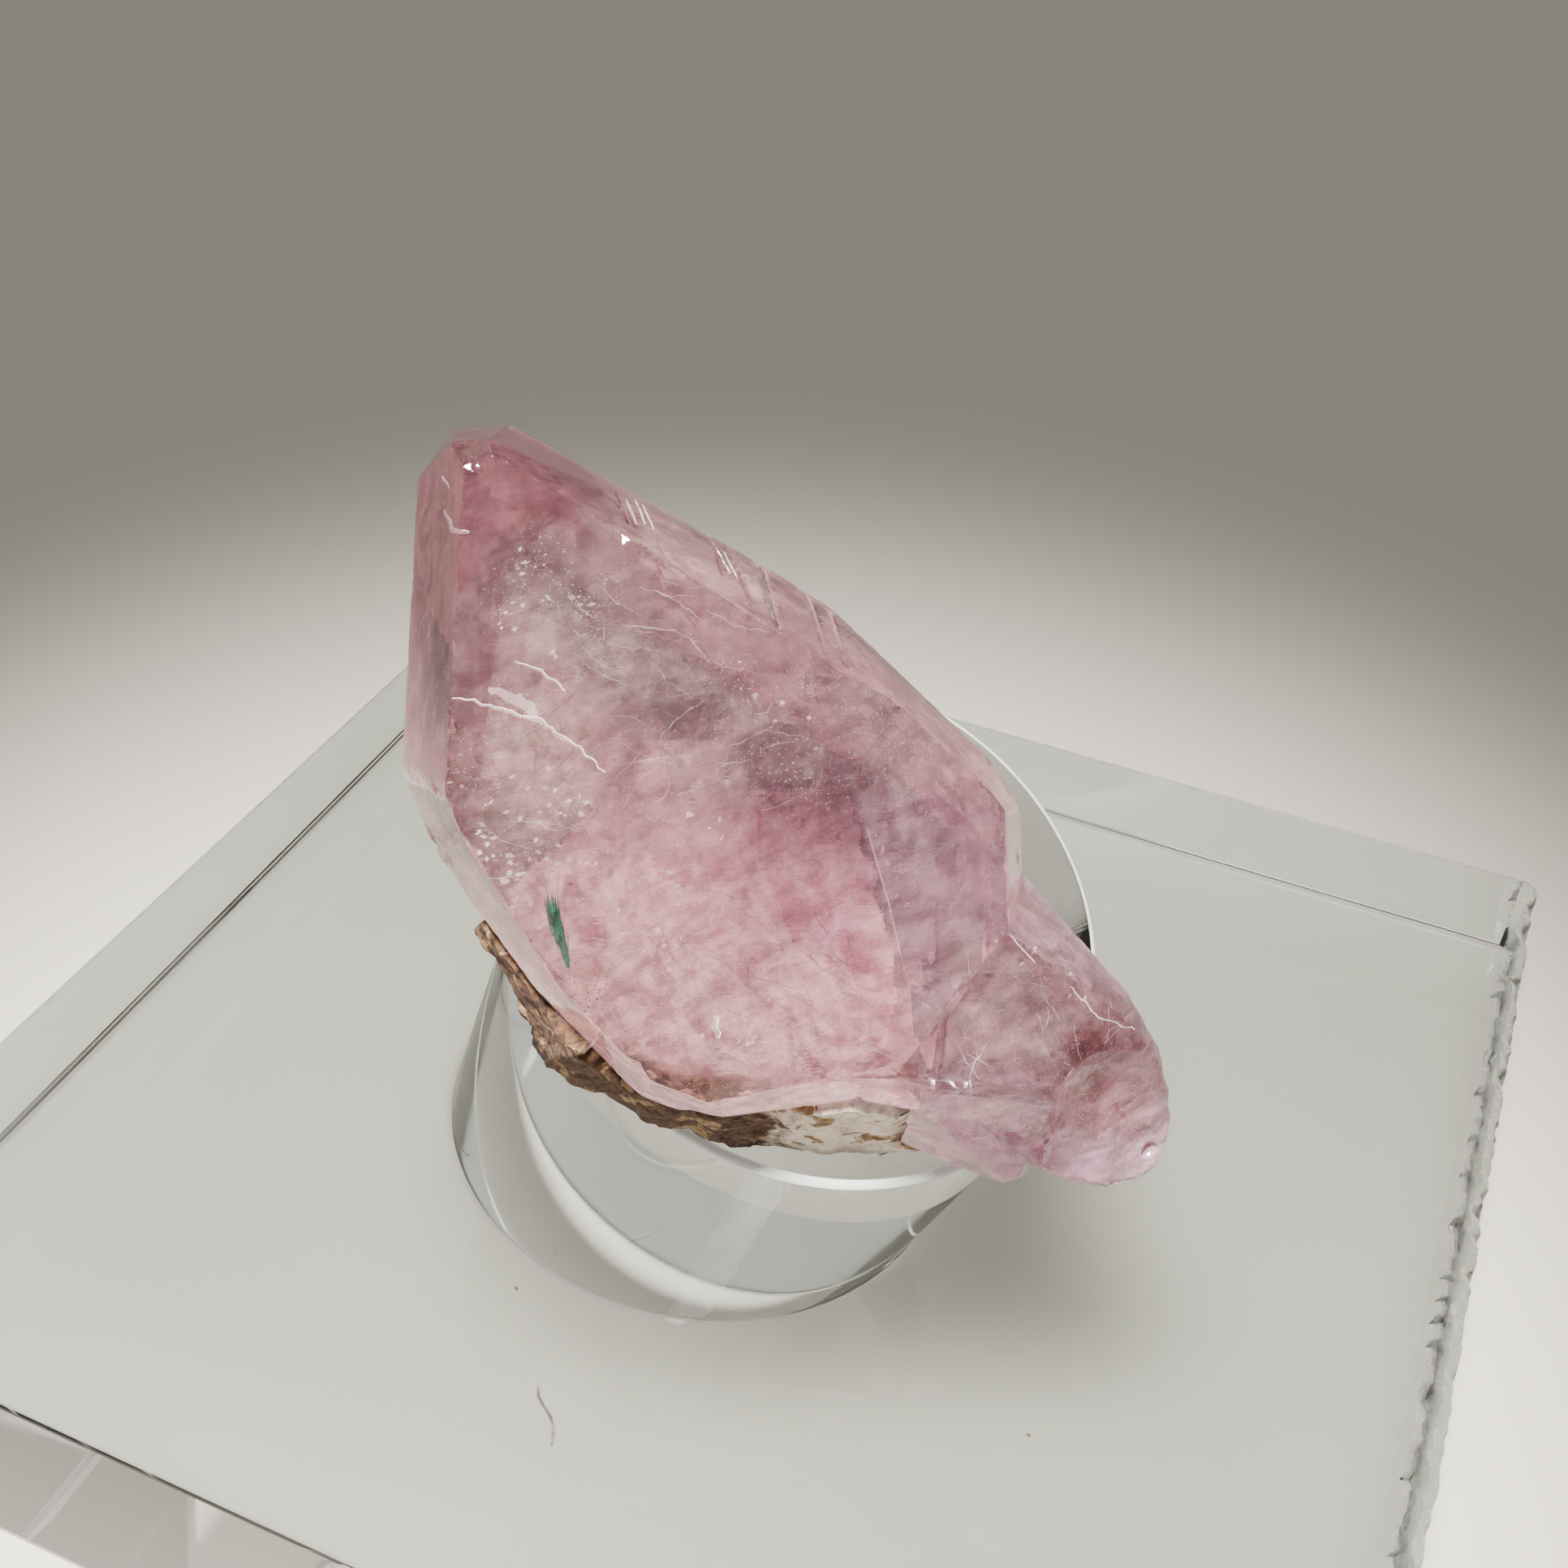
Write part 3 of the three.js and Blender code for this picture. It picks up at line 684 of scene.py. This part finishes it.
def flake_tree():
    """Scatters little flakes over a surface, in patches."""
    tree, nodes, links, given, result = tree_of(
        "scattered_flakes", "Flakes",
        ("Surface", "NodeSocketGeometry"), ("Flakes per square millimetre", "NodeSocketFloat"),
        ("Flake size", "NodeSocketFloat"), ("Patch size", "NodeSocketFloat"),
        ("Bare share", "NodeSocketFloat"), ("Tilt", "NodeSocketFloat"), ("Seed", "NodeSocketInt"),
        ("Finish", "NodeSocketMaterial"))
    patches = nodes.new("ShaderNodeTexNoise")
    patches.inputs["Detail"].default_value = 5.0
    patches.inputs["Roughness"].default_value = 0.65
    patches.inputs["Distortion"].default_value = 0.6
    links.new(figured(nodes, links, "DIVIDE", 1 / MM, given["Patch size"]), patches.inputs["Scale"])
    thinned = nodes.new("ShaderNodeMapRange")
    links.new(patches.outputs["Fac"], thinned.inputs["Value"])
    links.new(given["Bare share"], thinned.inputs["From Min"])
    thinned.inputs["From Max"].default_value = 0.75
    crowding = figured(nodes, links, "MULTIPLY", given["Flakes per square millimetre"], 1 / (MM * MM))
    scattered = nodes.new("GeometryNodeDistributePointsOnFaces")
    links.new(given["Surface"], scattered.inputs["Mesh"])
    links.new(figured(nodes, links, "MULTIPLY", crowding, thinned.outputs["Result"]),
              scattered.inputs["Density"])
    links.new(given["Seed"], scattered.inputs["Seed"])
    flake = nodes.new("GeometryNodeMeshCircle")
    flake.fill_type = "NGON"
    flake.inputs["Vertices"].default_value = 4
    flake.inputs["Radius"].default_value = 0.5 * MM
    turned = tilted(nodes, links, scattered.outputs["Rotation"], given["Tilt"])
    stretch = nodes.new("FunctionNodeRandomValue")
    stretch.data_type = "FLOAT_VECTOR"
    stretch.inputs[0].default_value = (0.3, 0.3, 1.0)
    stretch.inputs[1].default_value = (1.5, 1.1, 1.0)
    sized = nodes.new("ShaderNodeVectorMath")
    sized.operation = "SCALE"
    links.new(stretch.outputs[0], sized.inputs[0])
    links.new(given["Flake size"], sized.inputs["Scale"])
    stand_on_points(nodes, links, scattered.outputs["Points"], flake.outputs["Mesh"], turned,
                    sized.outputs[0], given["Finish"], result)
    return tree


def grown(obj, tree, **inputs):
    """Runs a Geometry Nodes tree on an object with its named inputs, and keeps the plain result."""
    modifier = obj.modifiers.new(tree.name, "NODES")
    modifier.node_group = tree
    for item in tree.interface.items_tree:
        key = item.name.replace(" ", "_").lower()
        if item.in_out == "INPUT" and key in inputs:
            modifier[item.identifier] = inputs[key]
    obj.update_tag()
    made_plain(obj)


FLAKES = flake_tree()


def flaked(name, finish, per_mm2, size, patch, bare, tilt, seed, films_below):
    """A piece of little flakes scattered over films inside the crystal. Sizes are millimetres."""
    piece = object_from(films_below, name, finish, CRYSTAL)
    grown(piece, FLAKES, flakes_per_square_millimetre=per_mm2, flake_size=size, patch_size=patch,
          bare_share=bare, tilt=tilt, seed=seed, finish=finish)
    belongs(piece, "calcite")


veil_white = mottled("healed_crack", CRYSTAL, (0.72, 0.50, 0.55), (0.92, 0.80, 0.80), 1.1, 3.0,
                     Roughness=0.35, IOR=1.5)
flaked("healed_cracks", veil_white, 520.0, 0.028, 0.8, 0.46, 0.7, 3, films(
    (-3.3, 3.8, 3.0, 2.0, -35, 1.2, 0.8, 0.1), (-3.9, 0.3, 2.4, 3.0, 0, 1.4, 0.6, 0.1),
    (0.2, -3.4, 3.8, 2.0, -10, 1.3, 0.8, 0.1), (0.0, 1.2, 7.0, 6.0, -20, 2.2, 1.6, 0.2),
    (-1.2, -2.0, 2.4, 1.8, -40, 0.8, 0.5), (2.4, 2.0, 3.6, 2.4, -35, 1.2, 0.6),
    (-2.2, -2.8, 3.4, 1.8, -35, 1.2, 0.8), (4.9, -3.2, 3.2, 2.4, -35, 1.0, 0.6),
    (6.7, -5.4, 2.4, 2.0, -30, 0.6, 0.3)))

# Painted glint: this near-white glossy finish makes the cracks, sparkles and hairlines look as if catching
# the light, over the cracks' own whiteness.
glint_white = mottled("air_filled_crack", CRYSTAL, (0.93, 0.90, 0.90), (1.0, 0.99, 0.98), 6.0, 2.0,
                      crisp=False, Roughness=0.15, IOR=1.9)
flaked("sparkles", glint_white, 26.0, 0.13, 0.5, 0.42, 0.6, 8, films(
    (-4.0, 0.0, 1.5, 2.0, 10, 0.1, 0.1), (-4.1, 3.5, 1.3, 1.0, 0, 0.12, 0.1),
    (-0.9, 2.2, 0.9, 0.4, -5, 0.1), (-0.8, 0.0, 0.8, 0.7, 0, 0.1), (-1.6, -1.5, 1.3, 1.3, -40, 0.1, 0.1),
    (5.8, -3.0, 3.6, 0.5, -38, 0.1), (6.9, -6.3, 2.2, 0.5, -5, 0.1), (-4.9, -0.4, 0.9, 2.6, 25, 0.1),
    (-3.3, -0.7, 1.8, 2.4, 20, 0.25, 0.15), (-1.8, -2.0, 2.0, 0.9, -48, 0.08),
    (-0.5, -3.4, 1.2, 0.8, 0, 0.08), (-3.5, 4.2, 1.8, 0.9, -30, 0.12), (0.3, 2.2, 2.2, 0.7, -30, 0.15)))
flaked("silvery_cracks", glint_white, 400.0, 0.04, 0.35, 0.52, 0.5, 15, films(
    (-3.7, 3.6, 2.4, 1.5, -35, 0.2, 0.2), (-3.2, 4.5, 1.6, 0.9, -35, 0.3, 0.2),
    (-4.2, 2.2, 1.2, 0.5, -25, 0.1, 0.1), (-3.9, -0.2, 1.8, 2.6, 10, 0.15, 0.1),
    (-1.5, -1.9, 2.2, 1.6, -42, 0.2, 0.2), (0.6, 1.6, 2.6, 1.6, -30, 0.3, 0.2),
    (-0.3, -3.6, 3.0, 1.2, -12, 0.2, 0.2), (-4.9, 1.0, 0.9, 2.2, 0, 0.2, 0.2),
    (0.9, -4.85, 3.8, 0.35, -4, 0.04), (6.6, -5.0, 2.4, 2.2, -40, 0.15, 0.1)))
draw = random.Random(7)


def hairlines(name, finish, count, width, places):
    """Short fine cracks scattered over places. A place gives x, y, width, height and heading."""
    bm = bmesh.new()
    for k in range(count):
        x, y, across, along, heading = places[k % len(places)]
        start = Vector((x + across * draw.uniform(-0.5, 0.5), y + along * draw.uniform(-0.5, 0.5)))
        angle = math.radians(heading + draw.gauss(0, 22))
        length = draw.uniform(0.25, 1.2)
        bend = draw.uniform(-0.12, 0.12)
        end = start + Vector((math.cos(angle), math.sin(angle))) * length
        middle = (start + end) / 2 + Vector((-math.sin(angle), math.cos(angle))) * bend
        seam(bm, (start, middle, end), draw.uniform(0.01, 0.4), width * draw.uniform(0.6, 1.4), 0.05)
    belongs(object_from(bm, name, finish, CRYSTAL), "calcite")


hairlines("bright_hairlines", glint_white, 150, 0.018,
          ((-6.0, 1.0, 0.8, 6.0, 75), (-1.8, 3.6, 3.0, 1.6, -10), (-1.0, 1.0, 3.0, 2.4, 20),
           (-3.4, -1.0, 2.6, 2.6, -30), (0.6, -3.8, 4.0, 1.0, -10), (4.8, -3.4, 2.6, 2.4, -60),
           (6.9, -5.2, 1.6, 2.0, 50), (1.6, -4.9, 4.0, 0.4, -8)))

# The main white crack with its branches, chips at the tip and over the foot, short strokes along the
# upper edge, two white lines along the smaller crystal's bevel that are a painted glint of its edge, and
# last the line of an inner facet. Cracks that reach the surface lie a hair over the front face.
ON_FACE = -0.004
MAIN_CRACK = ((-5.23, 2.30), (-4.73, 2.16), (-4.15, 1.99), (-3.72, 1.85), (-3.30, 1.56), (-2.94, 1.30),
              (-2.58, 0.99))
FACET_LINE = ((1.98, 0.03), (2.38, -1.30), (2.70, -2.61))
STROKES = ((-2.40, 5.92), (-2.26, 5.94), (-2.12, 5.86), (-0.74, 5.07), (-0.60, 4.98))
bright = seams(
    (MAIN_CRACK, -0.006, 0.10, 0.08),
    (((-4.62, 2.42), (-4.2, 2.26), (-3.75, 2.02)), 0.004, 0.30, 0.1),
    (((-4.15, 2.92), (-3.7, 2.75), (-3.29, 2.39)), ON_FACE, 0.06, 0.06),
    (((-5.56, 5.61), (-5.45, 5.40), (-5.28, 5.18), (-4.93, 5.12)), ON_FACE, 0.14, 0.06),
    (((-5.66, 6.24), (-5.42, 5.96)), ON_FACE, 0.08),
    (((-0.66, -3.28), (-0.64, -3.68)), ON_FACE, 0.22, 0.1),
    (((-2.40, 1.10), (-1.7, 1.25), (-1.29, 1.21)), 0.02, 0.03),
    (((-2.3, 3.55), (-1.9, 3.52), (-1.35, 3.45)), 0.02, 0.05),
    *((((x, y), (x + 0.28, y - 0.55)), ON_FACE, 0.045, 0.02) for x, y in STROKES),
    # Painted glint: white lines along the smaller crystal's bevel.
    (((4.44, -1.87), (4.8, -2.15), (5.2, -2.6)), ON_FACE, 0.03, 0.06),
    (((5.9, -3.1), (6.5, -3.72), (7.29, -4.03)), ON_FACE, 0.035, 0.06),
    (FACET_LINE, 0.3, 0.028, 0.0))
belongs(object_from(bright, "bright_seams", glint_white, CRYSTAL), "calcite")

# Dark seams below the tip and in the heart, and dark lines on the smaller crystal's broken end that are
# painted shade in its furrows.
dark_seam = mottled("dark_seam", CRYSTAL, (0.22, 0.08, 0.09), (0.40, 0.20, 0.21), 2.0, 2.0,
                    crisp=False, Roughness=0.5)
dark = seams(
    (((-1.84, 5.12), (-1.58, 4.17), (-1.42, 4.01), (-1.12, 3.62), (-0.82, 3.22)), 0.5, 0.07),
    (((1.01, 1.58), (1.12, 1.2), (1.30, 0.86)), 0.4, 0.04),
    (((0.02, 0.42), (0.11, 0.18), (0.08, -0.1)), 0.3, 0.12),
    # Painted shade: the furrows of the broken end, drawn as dark lines.
    (((6.94, -4.38), (6.5, -4.9), (6.06, -5.5)), 0.02, 0.09, 0.1),
    (((6.64, -4.14), (6.2, -4.6), (5.77, -5.19)), 0.02, 0.05, 0.1),
    (((7.53, -4.59), (6.9, -5.2), (6.23, -5.78)), 0.02, 0.06, 0.1),
    (((7.05, -5.6), (7.25, -5.95)), 0.0, 0.22, 0.1))
belongs(object_from(dark, "dark_seams", dark_seam, CRYSTAL), "calcite")
hairlines("dark_hairlines", dark_seam, 170, 0.016,
          ((-2.2, 4.2, 2.4, 1.4, -50), (-4.2, 1.0, 1.6, 2.0, 70), (2.4, 1.9, 2.2, 1.6, 40),
           (0.4, 1.0, 2.4, 2.0, 60), (-3.6, 4.6, 1.6, 1.4, 30), (0.6, -2.0, 3.0, 2.0, -40),
           (6.6, -5.0, 2.0, 2.4, 50), (-1.0, 2.6, 2.6, 1.4, -20)))

rust = mottled("rust_film", CRYSTAL, (0.40, 0.10, 0.05), (0.62, 0.28, 0.18), 3.0, 3.0,
               crisp=False, Roughness=0.7)
flaked("rust_films", rust, 260.0, 0.05, 0.7, 0.32, 0.8, 5, films(
    (-3.05, -3.0, 0.8, 1.1, -30, 0.7, 0.3), (-0.7, -4.55, 1.1, 0.7, -20, 0.6, 0.3)))

# A spray of malachite: fine green needles that stand in the calcite just under its front face, close
# together at their roots and spread at their tips.
malachite = mottled("malachite", CRYSTAL, (0.0, 0.045, 0.024), (0.0, 0.19, 0.10), 4.0, 2.0,
                    stretch=(3.0, 0.8, 1.0), Roughness=0.6)


def needle_tree():
    """Stands a leaning needle on every point of a mesh."""
    tree, nodes, links, given, result = tree_of(
        "needle_spray", "Needles",
        ("Roots", "NodeSocketGeometry"), ("Needle length", "NodeSocketFloat"),
        ("Needle radius", "NodeSocketFloat"), ("Spread", "NodeSocketFloat"),
        ("Heading", "NodeSocketRotation"), ("Seed", "NodeSocketInt"), ("Finish", "NodeSocketMaterial"))
    needle = nodes.new("GeometryNodeMeshCone")
    needle.inputs["Vertices"].default_value = 5
    needle.inputs["Radius Top"].default_value = 0.0
    links.new(given["Needle radius"], needle.inputs["Radius Bottom"])
    links.new(given["Needle length"], needle.inputs["Depth"])
    turned = tilted(nodes, links, given["Heading"], given["Spread"], given["Seed"])
    size = nodes.new("FunctionNodeRandomValue")
    size.data_type = "FLOAT"
    size.inputs[2].default_value = 0.45
    size.inputs[3].default_value = 1.0
    links.new(given["Seed"], size.inputs["Seed"])
    stand_on_points(nodes, links, given["Roots"], needle.outputs["Mesh"], turned, size.outputs[1],
                    given["Finish"], result)
    return tree


NEEDLES = 240
NEEDLE_LENGTH = 0.75
NEEDLE_RADIUS = 0.017
LOWEST_ROOT = Vector((-3.24, -2.46))
HIGHEST_ROOT = Vector((-3.50, -1.62))
bm = bmesh.new()
for k in range(NEEDLES):
    share = (k + 0.5) / NEEDLES
    sideways = 0.16 * noise.noise(Vector((k * 1.7, 3.0, 0.0)))
    root = LOWEST_ROOT.lerp(HIGHEST_ROOT, share ** 0.8)
    depth = 0.08 + 0.05 * noise.noise(Vector((k * 2.3, 0, 9)))
    bm.verts.new(under_front(root.x + sideways * (0.5 + share), root.y, depth))
spray = object_from(bm, "malachite_spray", malachite, CRYSTAL)
upwards = (CRYSTAL.to_3x3() @ Vector((-0.18, 1.0, 0.04))).to_track_quat("Z", "Y").to_euler()
grown(spray, needle_tree(), needle_length=NEEDLE_LENGTH * MM, needle_radius=NEEDLE_RADIUS * MM,
      spread=0.16, heading=upwards, seed=4, finish=malachite)
belongs(spray, "matrix")

# The matrix that the calcite grew on: brown, crumbly iron oxide up the lower left side and cream rock
# along the foot, cemented to the top of the rod.
matrix_rock, nodes, links, surface = material_named("matrix_rock", Roughness=0.9)
where = coordinates(nodes, links, CRYSTAL)
split = nodes.new("ShaderNodeSeparateXYZ")
links.new(where, split.inputs["Vector"])
lump = noise_at(nodes, links, where, 1.4, 5.0, 0.6)
grain = noise_at(nodes, links, where, 5.0, 5.0, 0.3)
speckled = between(nodes, links, grain, 0.35, 0.65)
brown = mixed(nodes, links, speckled, (0.03, 0.011, 0.004), (0.125, 0.058, 0.025))
cream = mixed(nodes, links, speckled, (0.78, 0.60, 0.48), (0.95, 0.84, 0.74))
stained = figured(nodes, links, "ADD", split.outputs["X"],
                  figured(nodes, links, "MULTIPLY", figured(nodes, links, "SUBTRACT", lump, 0.5), 3.0))
rock = mixed(nodes, links, between(nodes, links, stained, 0.2, 0.7), brown, cream)
ochre = mixed(nodes, links, speckled, (0.20, 0.11, 0.045), (0.42, 0.27, 0.14))
rock = mixed(nodes, links, between(nodes, links, lump, 0.56, 0.61), rock, ochre)


def outwards(degrees):
    """How far a point lies from the middle in one direction of the front view."""
    heading = (math.cos(math.radians(degrees)), math.sin(math.radians(degrees)), 0)
    return vector_figured(nodes, links, "DOT_PRODUCT", where, heading)


# Only its rim is bare rock. Under the calcite it has the crystal's colours, darker high up.
rim = figured(nodes, links, "MAXIMUM", outwards(-151), outwards(-97))
rim = figured(nodes, links, "MAXIMUM", outwards(-118), rim)
streaks = noise_at(nodes, links, where, 0.9, 7.0, 1.4, roughness=0.62)
streaky = between(nodes, links, streaks, 0.38, 0.62)
inner = mixed(nodes, links, streaky, (0.44, 0.24, 0.27), (0.84, 0.66, 0.64))
high_up = figured(nodes, links, "ADD", split.outputs["Y"], figured(nodes, links, "MULTIPLY", lump, 1.5))
inner = mixed(nodes, links, between(nodes, links, high_up, -1.4, 1.3), inner, (0.25, 0.165, 0.18))
at_rim = between(nodes, links, rim, 4.75, 5.05)
links.new(mixed(nodes, links, at_rim, inner, rock), surface.inputs["Base Color"])
bumped(nodes, links, surface, grain, 0.15)


def seated_matrix():
    """The matrix grown out to touch the calcite and the top of the rod, with a rough surface."""
    bm = diced("matrix", 0.16)
    rod_top = CRYSTAL.inverted() @ ROD_TOP
    rod_up = CRYSTAL.inverted().to_3x3() @ ROD_AXIS
    for v in bm.verts:
        v.co += v.normal * (0.05 * noise.noise(v.co * 3.0) + 0.04 * noise.noise(v.co * 7.0))
        contact, normal, _, away = CALCITE_SURFACE.find_nearest(v.co)
        inwards = (contact - v.co).normalized()
        if away < 0.5 and normal.dot(inwards) < 0 and v.normal.dot(inwards) > 0.6:
            v.co += inwards * (away + 0.02)
        height = (v.co - rod_top).dot(rod_up)
        if height < 0.5:
            v.co -= rod_up * (height - 0.01)
    return bm


matrix = object_from(seated_matrix(), "matrix_crust", matrix_rock, CRYSTAL)
shade(matrix, 35)
belongs(matrix, "matrix", "matrix")

# A wide pale matt floor just under the plate, a dim sky over it, one soft-edged spot light from the
# front and above, and the camera.
FLOOR_DROP = 0.12
FLOOR_REACH = 600
floor_paint = material_named("pale_floor", Base_Color=(0.47, 0.445, 0.395, 1), Roughness=0.85)[0]
bm = bmesh.new()
bmesh.ops.create_grid(bm, x_segments=1, y_segments=1, size=FLOOR_REACH)
bmesh.ops.translate(bm, verts=bm.verts, vec=(0, 0, -FLOOR_DROP))
floor = object_from(bm, "floor", floor_paint)

world = bpy.data.worlds.new("studio")
world.use_nodes = True
nodes, links = world.node_tree.nodes, world.node_tree.links
sky = nodes.new("ShaderNodeTexCoord")
split = nodes.new("ShaderNodeSeparateXYZ")
links.new(sky.outputs["Generated"], split.inputs["Vector"])
upward = between(nodes, links, split.outputs["Z"], 0.0, 0.85)
links.new(mixed(nodes, links, upward, (0.16, 0.14, 0.12), (0.95, 0.92, 0.88)),
          nodes["Background"].inputs["Color"])
nodes["Background"].inputs["Strength"].default_value = 0.68
bpy.context.scene.world = world

KEY_PLACE = Vector((6, -50, 112))
KEY_TARGET = Vector((0, -9, 6))
KEY_WIDTH = 22
KEY_SPREAD = 38
key_light = bpy.data.lights.new("key", "SPOT")
key_light.spot_size = math.radians(KEY_SPREAD)
key_light.spot_blend = 1.0
key_light.shadow_soft_size = KEY_WIDTH / 2 * MM
key_light.energy = 4.9
key_light.color = (1.0, 0.97, 0.92)
key = bpy.data.objects.new("key", key_light)
key.location = KEY_PLACE * MM
key.rotation_mode = "QUATERNION"
key.rotation_quaternion = (KEY_PLACE - KEY_TARGET).to_track_quat("Z", "Y")
bpy.context.scene.collection.objects.link(key)

CAMERA_PLACE = Vector((12.92, -35.32, 44.24))
CAMERA_RIGHT = Vector((0.9193, 0.3894, 0.0576))
CAMERA_UP = Vector((-0.2791, 0.5417, 0.7929))
CAMERA_BACK = Vector((0.2776, -0.7449, 0.6066))
camera_data = bpy.data.cameras.new("camera")
camera_data.lens = 44.0
camera_data.sensor_width = 36.0
camera_data.clip_start = 0.001
camera_data.clip_end = 10.0
camera = bpy.data.objects.new("camera", camera_data)
turned = Matrix((CAMERA_RIGHT, CAMERA_UP, CAMERA_BACK)).transposed().to_4x4()
camera.matrix_world = Matrix.Translation(CAMERA_PLACE * MM) @ turned
bpy.context.scene.collection.objects.link(camera)
bpy.context.scene.camera = camera
